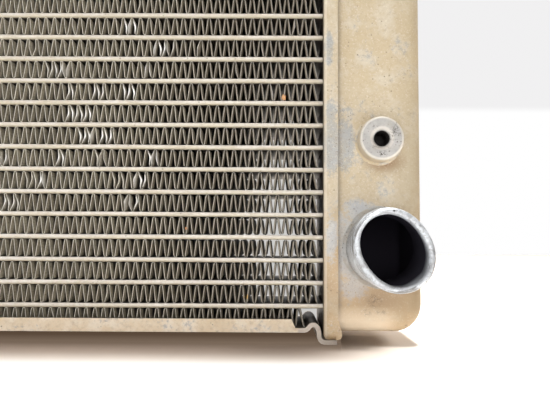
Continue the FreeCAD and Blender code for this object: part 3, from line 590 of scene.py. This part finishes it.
def fin_row(i):
    waves = 106 if i in (0, TUBES) else 109
    zc = Z_FIRST + PITCH * (i - 0.5)
    legs = waves * 2
    t = 0.06
    hh = (PITCH - TUBE_T) / 2.0 - 0.05 - t
    ny = len(LOUVRE)
    ly = np.array([p[0] for p in LOUVRE])
    lo = np.array([p[1] for p in LOUVRE])
    g = np.random.default_rng(9000 + i)
    k = np.arange(legs + 1)
    crest = -LEG * waves + k * LEG + noise1(k, 100 + i, 11.0) * 0.14 + g.normal(0, 0.045, legs + 1)
    crest[0], crest[-1] = -LEG * waves - 0.5, LEG * waves + 0.5
    sign = np.where(k % 2 == 0, -1.0, 1.0)
    cz = sign * (hh - FOLD_R)
    dxl, dzl = np.diff(crest), 2 * (hh - FOLD_R)
    tau = np.arccos(np.clip(2 * FOLD_R / np.hypot(dxl, dzl), -1, 1)) - np.arctan2(dzl, dxl)
    px, pz, nx, nz, am, bend, painted_glint = [], [], [], [], [], [], []
    zero = np.zeros(ny)
    into = ly + FIN_FRONT
    for j in range(legs + 1):
        # the fold at crest j, from the leg before to the leg after
        a0 = tau[j - 1] if j > 0 else math.pi / 2
        a1 = tau[j] if j < legs else math.pi / 2
        s = sign[j]
        for u in (0.0, 1 / 3, 2 / 3, 1.0):
            a = (math.pi + a0) + u * (math.pi - a0 - a1)
            ca, sa = math.cos(a), math.sin(a) * (1 if s < 0 else -1)
            px.append(crest[j] + FOLD_R * ca)
            pz.append(cz[j] + FOLD_R * sa)
            nx.append(ca * (1 if s < 0 else -1))
            nz.append(sa * (1 if s < 0 else -1))
            am.append(0.0)
            bend.append(zero)
            painted_glint.append(zero)
        if j == legs:
            break
        # the leg after it
        xa, za = px[-1], pz[-1]
        ct, st = math.cos(tau[j]), math.sin(tau[j])
        xb = crest[j + 1] - FOLD_R * ct
        zb = cz[j + 1] + (-s) * FOLD_R * st * (1.0)
        lean_n = (ct, -st) if s < 0 else (ct, st)
        knock = None
        xm = (xa + xb) / 2
        for row, x0, x1, far, shine in KNOCKS:
            if row == i and x0 - 1.8 < xm < x1 - 0.6:
                # a knocked group mostly leans over to the right together
                way = -1.0 if g.random() < 0.25 else 1.0
                if far > 1.5:
                    # two legs splayed apart, their faces turned to the front
                    way = -0.62 if xm < (x0 + x1) / 2 - 1.2 else 0.62
                knock = (way * far * g.uniform(0.6, 0.9), g.uniform(0.4, 0.62), g.uniform(7.0, 11.0), shine * g.uniform(0.6, 1.0))
        if knock is None and g.random() < 0.008:
            knock = (g.choice([-1, 1]) * g.uniform(0.3, 0.6), 0.5, 3.5, 0.1)
        rows = (0.12, 0.26, 0.4, 0.5, 0.6, 0.74, 0.88) if knock else (0.05, 0.95)
        small = g.normal(0, 0.05)
        for u in rows:
            px.append(xa + (xb - xa) * u)
            pz.append(za + (zb - za) * u)
            nx.append(lean_n[0] * (1 if s < 0 else 1))
            nz.append(lean_n[1])
            am.append(1.0)
            b = np.full(ny, small * math.sin(math.pi * u))
            w = zero
            if knock:
                far, at, reach, shine = knock
                hump = float(smooth(u / at) if u < at else smooth((1 - u) / (1 - at)))
                fade = 0.5 * (1 - smooth(into / reach)) + 0.5 * (1 - smooth(into / 1.5))
                b = b + 1.15 * far * hump * fade
                # the front of a knocked leg's face gets a painted glint, strongest at its hump
                w = np.clip(shine * (into < 1.3) * (0.2 + 0.8 * hump) * 1.2, 0, 1)
            bend.append(b)
            painted_glint.append(w)
    px, pz, nx, nz, am = (np.array(v) for v in (px, pz, nx, nz, am))
    bend, painted_glint = np.array(bend), np.array(painted_glint)
    n = len(px)
    # the strip's own sideways direction, always on the same side of the path
    tx, tz = np.gradient(px), np.gradient(pz)
    ln = np.hypot(tx, tz)
    sx, sz = -tz / ln, tx / ln
    X = px[:, None] + am[:, None] * lo[None, :] + bend
    Z = np.repeat(pz[:, None], ny, 1)
    Y = np.repeat(ly[None, :], n, 0)
    Y[:, 0] += np.clip(np.abs(bend[:, 0]) - 0.2, 0, 2) * 0.45
    top = np.stack([X + sx[:, None] * t, Y, zc + Z + sz[:, None] * t], -1)
    bot = np.stack([X - sx[:, None] * t, Y, zc + Z - sz[:, None] * t], -1)
    verts = np.concatenate([top.reshape(-1, 3), bot.reshape(-1, 3)])
    m = n * ny
    a = np.arange(n - 1) * ny
    edge0 = np.stack([a, a + m, a + ny + m, a + ny], -1)
    a = a + ny - 1
    edge1 = np.stack([a, a + ny, a + ny + m, a + m], -1)
    b = np.arange(ny - 1)
    end0 = np.stack([b, b + 1, b + 1 + m, b + m], -1)
    b = b + (n - 1) * ny
    end1 = np.stack([b, b + m, b + 1 + m, b + 1], -1)
    faces = np.concatenate([loop_faces(n, ny, 0, closed=False), loop_faces(n, ny, m, closed=False, flip=True), edge0, edge1, end0, end1])
    if i == 6:
        print("fin row faces", len(faces))
    return quads("fins_row_%02d" % (i + 1), verts, faces, M_FIN, sharp_deg=38, painted_glint=np.concatenate([painted_glint.ravel(), painted_glint.ravel()]))


fin_objects = [fin_row(i) for i in range(TUBES + 1)]
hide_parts("core_fins")


def clay_lumps():
    """Two crumbs of dried clay lodged between the front fins."""
    verts, faces, base = [], [], 0
    for q, (cx, cy, cz, rx, ry, rz) in enumerate([(197.6, -15.0, 103.7, 0.95, 0.8, 1.35), (154.7, -15.2, 44.8, 0.55, 0.5, 0.6)]):
        nu, nv = 24, 15
        th = np.linspace(0, 2 * math.pi, nu, endpoint=False)
        ph = np.linspace(0.12, math.pi - 0.12, nv)
        T, P = np.meshgrid(th, ph)
        d = np.stack([np.sin(P) * np.cos(T), np.sin(P) * np.sin(T), np.cos(P)], -1)
        r = 1 + 0.12 * np.sin(5 * d[..., 0] + 2 * q) * np.cos(4 * d[..., 2] + q) + 0.10 * np.cos(7 * d[..., 1] + 3 * d[..., 2]) + 0.06 * np.sin(11 * d[..., 0] + 5 * d[..., 1])
        v = np.array([cx, cy, cz]) + d * r[..., None] * np.array([rx, ry, rz])
        verts.append(v.reshape(-1, 3))
        faces.append(loop_faces(nv, nu, base))
        base += nu * nv
    fl = np.concatenate(faces)
    vv = np.concatenate(verts)
    caps = []
    for q in range(2):
        b = q * 24 * 15
        caps += [[b + k for k in range(24)][::-1], [b + 14 * 24 + k for k in range(24)]]
    me = bpy.data.meshes.new("clay_lumps")
    me.from_pydata([tuple(p * MM) for p in vv], [], [list(map(int, f)) for f in fl] + caps)
    me.materials.append(M_CLAY)
    for p in me.polygons:
        p.use_smooth = True
    ob = bpy.data.objects.new("clay_lumps", me)
    bpy.context.scene.collection.objects.link(ob)
    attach(ob, "radiator")
    return ob


clay_lumps()


# ------------------------------------------------------------------ tubes
def tubes():
    r, flat = 0.72, 0.26
    arc = np.linspace(0, math.pi / 2, 5)
    yc = HALF_D - r
    nose = [(-yc - r * math.cos(a), -flat - r * math.sin(a)) for a in arc[::-1]] + [(-yc - r * math.cos(a), flat + r * math.sin(a)) for a in arc]
    ring = np.array(nose + [(-y, z) for y, z in nose[::-1]])
    n = len(ring)
    inner = ring * [1.0, 0.65]
    inner[:, 0] -= np.sign(inner[:, 0]) * 0.35
    xs = np.concatenate([[-219.5], np.linspace(-215, 215, 110), [219.5]])
    verts, faces, base = [], [], 0
    for i in range(TUBES):
        zc = Z_FIRST + PITCH * i
        edge = 1 - (np.abs(xs) > 214)
        dz = (noise1(xs, 300 + i, 60) * 0.10 + noise1(xs, 340 + i, 9) * 0.03) * edge
        dy = (np.abs(noise1(xs, 380 + i, 21)) * 0.05 + np.abs(noise1(xs, 420 + i, 6)) * 0.05) * edge
        th = 1 + noise1(xs, 460 + i, 12) * 0.03 * edge
        front = (ring[:, 0] < 0).astype(float)
        back = 1 - front
        for x, a, b, c in zip(xs, dz, dy, th):
            verts.append(np.stack([np.full(n, x), ring[:, 0] + (front - back) * b, zc + a + ring[:, 1] * c * 1.01], -1))
        m = len(xs)
        faces.append(loop_faces(m, n, base))
        inner_base = base + m * n
        for x in (xs[0], xs[-1]):
            verts.append(np.stack([np.full(n, x), inner[:, 0], zc + inner[:, 1]], -1))
        faces.append(loop_faces(2, n, inner_base, flip=True))
        k = np.arange(n)
        k2 = (k + 1) % n
        faces.append(np.stack([base + k, base + k2, inner_base + k2, inner_base + k], -1)[:, ::-1])
        last, ilast = base + (m - 1) * n, inner_base + n
        faces.append(np.stack([last + k, ilast + k, ilast + k2, last + k2], -1)[:, ::-1])
        base = ilast + n
    return quads("tubes", np.concatenate(verts), np.concatenate(faces), M_TUBE, stands_for=("core_tubes",), sharp_deg=60)


tubes()


# ------------------------------------------------------------------ hose pipes
def pipe(name, x, z, oval_deg, node, droop):
    """A stub with a thick rolled lip, its mouth knocked slightly oval. Angles run in the front view from +X towards +Z."""
    seg = 176
    h = PIPE_H
    prof = [(15.9, 0.02), (16.0, 0.6), (16.0, 6.0), (16.0, 10.0), (16.05, h - 9.6), (16.3, h - 8.9), (16.5, h - 8.2), (16.52, h - 7.7), (16.35, h - 7.0),
            (16.15, h - 6.4), (16.1, h - 5.4), (16.2, h - 4.6), (16.42, h - 3.9), (16.48, h - 3.3), (16.38, h - 2.5), (16.3, h - 1.7), (16.15, h - 1.0),
            (15.8, h - 0.4), (15.3, h - 0.08), (14.8, h), (14.3, h - 0.06), (13.85, h - 0.35), (13.55, h - 0.9), (13.42, h - 1.8), (13.5, h - 3.2), (13.7, h - 5.0),
            (13.8, h - 9), (13.8, 8.0), (13.8, 0.0), (13.8, -2.8), (15.3, -2.8), (15.45, -1.0)]
    ang = np.linspace(0, 2 * math.pi, seg, endpoint=False)
    phim = math.radians(oval_deg)
    verts = []
    for r, t in prof:
        share = float(smooth(t / h)) ** 1.3
        inner = r < 14.9
        e = (0.082 if not inner else 0.112) * share
        rr = r * (1 + e * np.cos(2 * (ang - phim))) + noise1(ang * 6, 77, 2.0) * 0.06 * share
        tt = t + share * (noise1(np.cos(ang) * 2 + 5, 78, 1.0) * 0.22)
        verts.append(np.stack([x + rr * np.cos(ang) + droop[0] * share, TANK_FACE - tt, z + rr * np.sin(ang) + droop[1] * share], -1))
    n = len(prof)
    k = np.arange(seg)
    k2 = (k + 1) % seg
    close = np.stack([(n - 1) * seg + k, (n - 1) * seg + k2, k2, k], -1)
    return quads(name, np.concatenate(verts), np.concatenate([loop_faces(n, seg, 0), close]), M_PIPE, stands_for=(node,), sharp_deg=60)


pipe("outlet_stub", PIPE_X, PIPE_Z, -53.0, "outlet_pipe", (0.0, -0.4))
pipe("inlet_stub", -PIPE_X, Z_TOP - PIPE_Z, 35.0, "inlet_pipe", (0.2, 0.2))


def weld_ring(name, spots, r, width, height, ripples, seed, nodes, mat, axis="y", body="radiator", rough=1.0):
    """Weld beads: a fillet whose width and height wander, laid in overlapping ripples."""
    seg = 288
    verts, faces, base = [], [], 0
    for q, (x, y, z) in enumerate(spots):
        ang = np.linspace(0, 2 * math.pi, seg, endpoint=False)
        w = width * (1 + 0.20 * noise1(np.sin(ang) * 3 + 7 * q, seed, 0.9) + 0.10 * noise1(ang * 9, seed + 1, 1.0))
        hgt = height * (1 + 0.18 * noise1(np.cos(ang) * 3 + 5 * q, seed + 2, 0.9))
        rip = 0.10 * rough * (0.5 + 0.5 * np.cos(ang * ripples + 1.5 * np.sin(ang * 3)))
        ring = []
        for u in np.linspace(0, 1, 9):
            a = u * math.pi / 2
            k = math.sin(2 * a)
            ring.append((r + w * (1 - math.cos(a)) * 0.98 + 0.10 * k * w + rip * k, hgt * (1 - math.sin(a)) * 0.98 + 0.16 * k * hgt + rip * k))
        ring.append((np.full(seg, r) + w * 0.5, np.full(seg, -0.02)))
        for rr, tt in ring:
            if axis == "y":
                verts.append(np.stack([x + rr * np.cos(ang), y - tt, z + rr * np.sin(ang)], -1))
            else:
                verts.append(np.stack([x + rr * np.cos(-ang), y + rr * np.sin(-ang), z + tt], -1))
        n = len(ring)
        faces.append(loop_faces(n, seg, base, flip=True))
        k = np.arange(seg)
        k2 = (k + 1) % seg
        faces.append(np.stack([base + (n - 1) * seg + k, base + k, base + k2, base + (n - 1) * seg + k2], -1)[:, ::-1])
        base += n * seg
    return quads(name, np.concatenate(verts), np.concatenate(faces), mat, stands_for=nodes, sharp_deg=70, body=body)


weld_ring("outlet_weld", [(PIPE_X, TANK_FACE, PIPE_Z)], 16.0, 1.9, 1.7, 66, 31, ("outlet_weld_bead",), M_WELD)
weld_ring("inlet_weld", [(-PIPE_X, TANK_FACE, Z_TOP - PIPE_Z)], 16.0, 1.9, 1.7, 61, 41, ("inlet_weld_bead",), M_WELD)
weld_ring("neck_weld", [(233.2, 0.0, 331.0)], 11.2, 1.4, 1.4, 48, 61, ("neck_weld_bead",), M_WELD, axis="z")
spots = [(sx * BOSS_X, TANK_FACE, z) for sx in (1, -1) for z in (BOSS_Z, Z_TOP - BOSS_Z)]
weld_ring("boss_welds", spots, BOSS_R, 1.0, 0.9, 40, 51, ("boss_weld_beads",), M_SEAM, rough=0.5)


def bosses():
    seg = 120
    ang = np.linspace(0, 2 * math.pi, seg, endpoint=False)
    verts, faces, base = [], [], 0
    h = BOSS_H
    for q, (x, y, z) in enumerate(spots):
        prof = [(9.4, 0.05), (9.5, 0.8), (9.5, h - 1.7), (9.44, h - 1.15), (9.25, h - 0.6), (8.95, h - 0.22), (8.5, h - 0.03), (8.1, h), (7.0, h - 0.04), (5.3, h - 0.06),
                (4.75, h - 0.12), (4.1, h - 0.45), (3.5, h - 0.95)]
        start = h - 0.95
        prof += [(3.4, start - k * 0.166) for k in range(1, 73)]
        prof += [(0.01, start - 73 * 0.166 - 0.6)]
        for j, (r, t) in enumerate(prof):
            rr, tt = np.full(seg, r), np.full(seg, t)
            if r == 3.4:
                # an 8 mm thread, 1.25 mm pitch
                ph = (t / 1.25 + ang / (2 * math.pi)) % 1.0
                rr = 3.35 + 0.5 * (1 - np.abs(2 * ph - 1)) * float(smooth((start - t) / 0.8))
            elif j < 11:
                rr = rr + 0.05 * noise1(ang * 5 + q, 91, 1.0)
                tt = tt + (0.05 * noise1(ang * 4 + q * 3, 92 + j, 1.0) if t > h - 0.6 else 0)
            verts.append(np.stack([x + rr * np.cos(ang), y - tt, z + rr * np.sin(ang)], -1))
        n = len(prof)
        # the spigot inside the tank, and its back
        for r, t in [(7.5, -7.0), (7.5, 0.03)]:
            verts.append(np.stack([x + r * np.cos(ang), np.full(seg, y - t), z + r * np.sin(ang)], -1))
        k = np.arange(seg)
        k2 = (k + 1) % seg
        a = base + n * seg
        faces.append(loop_faces(n, seg, base))
        faces.append(loop_faces(2, seg, a))
        faces.append(np.stack([a + seg + k, a + seg + k2, base + k2, base + k], -1)[:, ::-1])
        verts.append(np.stack([x + 0.01 * np.cos(ang), np.full(seg, y + 7.0), z + 0.01 * np.sin(ang)], -1))
        b = base + (n + 2) * seg
        faces.append(np.stack([b + k, b + k2, a + k2, a + k], -1)[:, ::-1])
        base = b + seg
    return quads("bosses", np.concatenate(verts), np.concatenate(faces), M_BOSS, stands_for=("mounting_bosses",), sharp_deg=40)


bosses()


# ------------------------------------------------------------------ springs
def coil(name, r, wire, z0, z1, turns, x, node, body, mat):
    """A compression spring with closed, ground-looking ends: round wire on a helix that flattens at both ends."""
    steps, sides = int(40 * turns), 12
    th = np.linspace(0, 2 * math.pi * turns, steps + 1)
    u = th / th[-1]
    dead = 0.7 / turns
    rise = np.where(u < dead, 0.25 * (u / dead) ** 2 * dead, 0.0)
    rate = np.clip(np.minimum(u, 1 - u) / dead, 0.12, 1.0)
    rise = np.concatenate([[0], np.cumsum((rate[1:] + rate[:-1]) / 2)])
    rise = rise / rise[-1]
    c = np.stack([x + r * np.cos(th), r * np.sin(th), z0 + (z1 - z0) * rise], -1)
    tan = np.gradient(c, axis=0)
    tan /= np.linalg.norm(tan, axis=1)[:, None]
    out = np.stack([np.cos(th), np.sin(th), np.zeros_like(th)], -1)
    up = np.cross(tan, out)
    up /= np.linalg.norm(up, axis=1)[:, None]
    a = np.linspace(0, 2 * math.pi, sides, endpoint=False)
    ring = c[:, None, :] + wire / 2 * (np.cos(a)[None, :, None] * out[:, None, :] + np.sin(a)[None, :, None] * up[:, None, :])
    verts = np.concatenate([ring.reshape(-1, 3), c[:1], c[-1:]])
    n = len(c)
    faces = [list(f) for f in loop_faces(n, sides, 0)]
    k = np.arange(sides)
    faces += [[n * sides, (j + 1) % sides, j] for j in k]
    faces += [[n * sides + 1, (n - 1) * sides + j, (n - 1) * sides + (j + 1) % sides] for j in k]
    return quads(name, verts, faces, mat, body=body, stands_for=(node,), sharp_deg=50)


NECK_X, SEAT_Z, CAGE_TOP = 233.2, 343.2, 361.64
PLATE_Z = SEAT_Z + 1.6
main_spring = coil("pressure_coil", 10.35, 1.2, PLATE_Z + 1.66, CAGE_TOP - 1.66, 4.5, NECK_X, "pressure_spring", "cap_core", M_STEEL)
small_spring = coil("vacuum_coil", 2.2, 0.4, PLATE_Z + 1.25, PLATE_Z + 4.95, 4.0, NECK_X, "vacuum_spring", "pressure_valve", M_STEEL)
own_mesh(main_spring)
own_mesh(small_spring)

# ------------------------------------------------------------------ floor, backdrop, lights, camera
FLOOR_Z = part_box("bottom_side_plate")[0].z - 0.0002


EYE = (0.195073, -0.247578, 0.041364)


def from_eye(m):
    """1 where a ray comes straight from the main camera and passes through the core rather than beside the tank."""
    g = m.nt.nodes.new("ShaderNodeNewGeometry")
    sub = m.nt.nodes.new("ShaderNodeVectorMath")
    sub.operation = "SUBTRACT"
    sub.inputs[0].default_value = EYE
    m.nt.links.new(g.outputs["Position"], sub.inputs[1])
    cross = m.nt.nodes.new("ShaderNodeVectorMath")
    cross.operation = "CROSS_PRODUCT"
    m.nt.links.new(sub.outputs[0], cross.inputs[0])
    m.nt.links.new(g.outputs["Incoming"], cross.inputs[1])
    ln = m.nt.nodes.new("ShaderNodeVectorMath")
    ln.operation = "LENGTH"
    m.nt.links.new(cross.outputs[0], ln.inputs[0])
    away = m.math("DIVIDE", m.math("SUBTRACT", m.x, EYE[0]), m.math("SUBTRACT", m.y, EYE[1]))
    return m.both(m.math("LESS_THAN", ln.outputs["Value"], 0.002), m.math("LESS_THAN", away, 0.12))


def stage_mat(name, colour, seen=None, seen_high=None, high=(0.39, 0.41), shade=False):
    """Matt white. Where seen is given, the camera sees that even white, so that the backdrop doesn't need bright lamps behind the object."""
    m = Nodes(name)
    c = m.mix(m.ramp(m.noise(3, 3, 0.5), 0.3, 0.7), colour, tuple(0.985 * v for v in colour))
    if shade:
        # the close, dark part of the soft shadow, and a duller floor behind the object
        c = m.mix(m.ramp(m.y, -0.042, -0.056), c, (0.66, 0.65, 0.64))
        under = m.both(m.ramp(m.y, -0.054, -0.030), m.ramp(m.y, 0.060, 0.040), m.ramp(m.x, 0.245, 0.205), m.ramp(m.x, -0.26, -0.22))
        c = m.mix(m.math("MULTIPLY", under, 0.72), c, (0.24, 0.16, 0.115))
    mat = m.finish(c, 0.9, 0.0)
    if seen is not None or shade:
        em = m.nt.nodes.new("ShaderNodeEmission")
        path = m.nt.nodes.new("ShaderNodeLightPath")
        mix = m.nt.nodes.new("ShaderNodeMixShader")
        if shade:
            # what shows through the core and under its last bead: a dull floor behind, deep shade right below
            m.put(em.inputs[0], m.mix(m.ramp(m.y, 0.030, 0.050), m.mix(m.ramp(m.y, -0.020, 0.004, kind="LINEAR"), (0.225, 0.165, 0.120), (0.102, 0.067, 0.044)), (0.60, 0.59, 0.57)))
            core = m.both(m.ramp(m.y, -0.034, -0.012), from_eye(m))
            m.put(mix.inputs[0], m.math("MULTIPLY", path.outputs["Is Camera Ray"], core))
        else:
            # camera rays see a glowing white, greyer high up, and a painted-shade grey where they pass straight through
            # the core
            m.put(em.inputs[0], m.mix(from_eye(m), m.mix(m.ramp(m.z, *high), seen, seen_high or seen), (0.62, 0.61, 0.59)))
            m.nt.links.new(path.outputs["Is Camera Ray"], mix.inputs[0])
        m.nt.links.new(m.bsdf.outputs[0], mix.inputs[1])
        m.nt.links.new(em.outputs[0], mix.inputs[2])
        m.nt.links.new(mix.outputs[0], m.out.inputs[0])
    return mat


def plane(name, corners, mat):
    me = bpy.data.meshes.new(name)
    me.from_pydata(corners, [], [(0, 1, 2, 3)])
    me.materials.append(mat)
    ob = bpy.data.objects.new(name, me)
    bpy.context.scene.collection.objects.link(ob)
    return ob


WHITE = stage_mat("floor_white", (0.66, 0.60, 0.54), shade=True)
WALL = stage_mat("wall_white", (0.50, 0.50, 0.50), (1.0, 1.0, 1.0), (0.88, 0.875, 0.88), (0.386, 0.410))
plane("floor", [(-3, -3, FLOOR_Z), (3, -3, FLOOR_Z), (3, 1.2, FLOOR_Z), (-3, 1.2, FLOOR_Z)], WHITE)
plane("backdrop", [(-3, 1.2, FLOOR_Z), (3, 1.2, FLOOR_Z), (3, 1.2, 3), (-3, 1.2, 3)], WALL)

# the object's own pieces, for the lamp that lights only them
own = bpy.data.collections.new("radiator_pieces")
for ob in bpy.data.objects:
    if ob.type == "MESH" and ob.name not in ("floor", "backdrop"):
        own.objects.link(ob)


ground = bpy.data.collections.new("ground_and_backdrop")
ground.objects.link(bpy.data.objects["floor"])
ground.objects.link(bpy.data.objects["backdrop"])


def area(name, loc, target, size, power, colour=(1, 1, 1), size_y=None, only_object=False, only_ground=False):
    li = bpy.data.lights.new(name, "AREA")
    li.shape = "RECTANGLE"
    li.size = size
    li.size_y = size_y or size
    li.energy = power
    li.color = colour
    ob = bpy.data.objects.new(name, li)
    ob.location = loc
    d = Vector(target) - Vector(loc)
    ob.rotation_euler = d.to_track_quat("-Z", "Y").to_euler()
    bpy.context.scene.collection.objects.link(ob)
    if only_object or only_ground:
        ob.light_linking.receiver_collection = own if only_object else ground
    return ob


area("overhead_floor", (0.36, 0.125, 1.7), (0.20, 0.02, 0.0), 0.50, 84, (1.0, 1.0, 1.0), 0.20, only_ground=True)
area("overhead", (0.36, 0.125, 1.7), (0.20, 0.02, 0.0), 0.50, 62, (1.0, 1.0, 1.0), 0.20, only_object=True)
casters = bpy.data.collections.new("shadow_casters")
for ob in own.objects:
    if not ob.name.startswith(("outlet_", "inlet_")):
        casters.objects.link(ob)
bpy.data.objects["overhead_floor"].light_linking.blocker_collection = casters
area("front_high", (0.10, -0.75, 1.15), (0.17, 0.0, 0.10), 0.6, 3.0, (1.0, 0.99, 0.97), 0.4, only_object=True)
area("front_low", (0.05, -1.9, 0.22), (0.18, 0, 0.10), 1.6, 12.0, (1.0, 0.98, 0.95), 0.5)
area("left_fill", (-0.75, -0.60, 0.45), (0.20, 0.0, 0.08), 0.9, 3.6, (0.95, 0.97, 1.0), 0.7, only_object=True)
area("right_side", (0.70, 0.045, 0.40), (0.24, -0.03, 0.0), 0.28, 2.8, (1.0, 0.96, 0.92), 0.25, only_ground=True)

world = bpy.data.worlds.new("world")
bpy.context.scene.world = world
world.use_nodes = True
world.node_tree.nodes["Background"].inputs[0].default_value = (0.62, 0.52, 0.43, 1)
world.node_tree.nodes["Background"].inputs[1].default_value = 0.16
pale = world.node_tree.nodes.new("ShaderNodeBackground")
pale.inputs[0].default_value = (0.90, 0.90, 0.90, 1)
direct = world.node_tree.nodes.new("ShaderNodeLightPath")
either = world.node_tree.nodes.new("ShaderNodeMixShader")
world.node_tree.links.new(direct.outputs["Is Camera Ray"], either.inputs[0])
world.node_tree.links.new(world.node_tree.nodes["Background"].outputs[0], either.inputs[1])
world.node_tree.links.new(pale.outputs[0], either.inputs[2])
world.node_tree.links.new(either.outputs[0], world.node_tree.nodes["World Output"].inputs[0])

cam_data = bpy.data.cameras.new("camera")
cam_data.sensor_width = 36.0
cam_data.lens = 525.0 / 550.0 * 36.0
cam_data.clip_start = 0.01
cam_data.clip_end = 20
cam = bpy.data.objects.new("camera", cam_data)
bpy.context.scene.collection.objects.link(cam)
pitch, yaw, roll = math.radians(3.282), math.radians(0.293), math.radians(0.294)
cam.matrix_world = (Matrix.Translation((0.195073, -0.247578, 0.041364)) @ Matrix.Rotation(yaw, 4, "Z")
                    @ Matrix.Rotation(math.pi / 2 + pitch, 4, "X") @ Matrix.Rotation(roll, 4, "Z"))
bpy.context.scene.camera = cam

bpy.context.scene.view_settings.view_transform = "Standard"
bpy.context.scene.view_settings.look = "None"
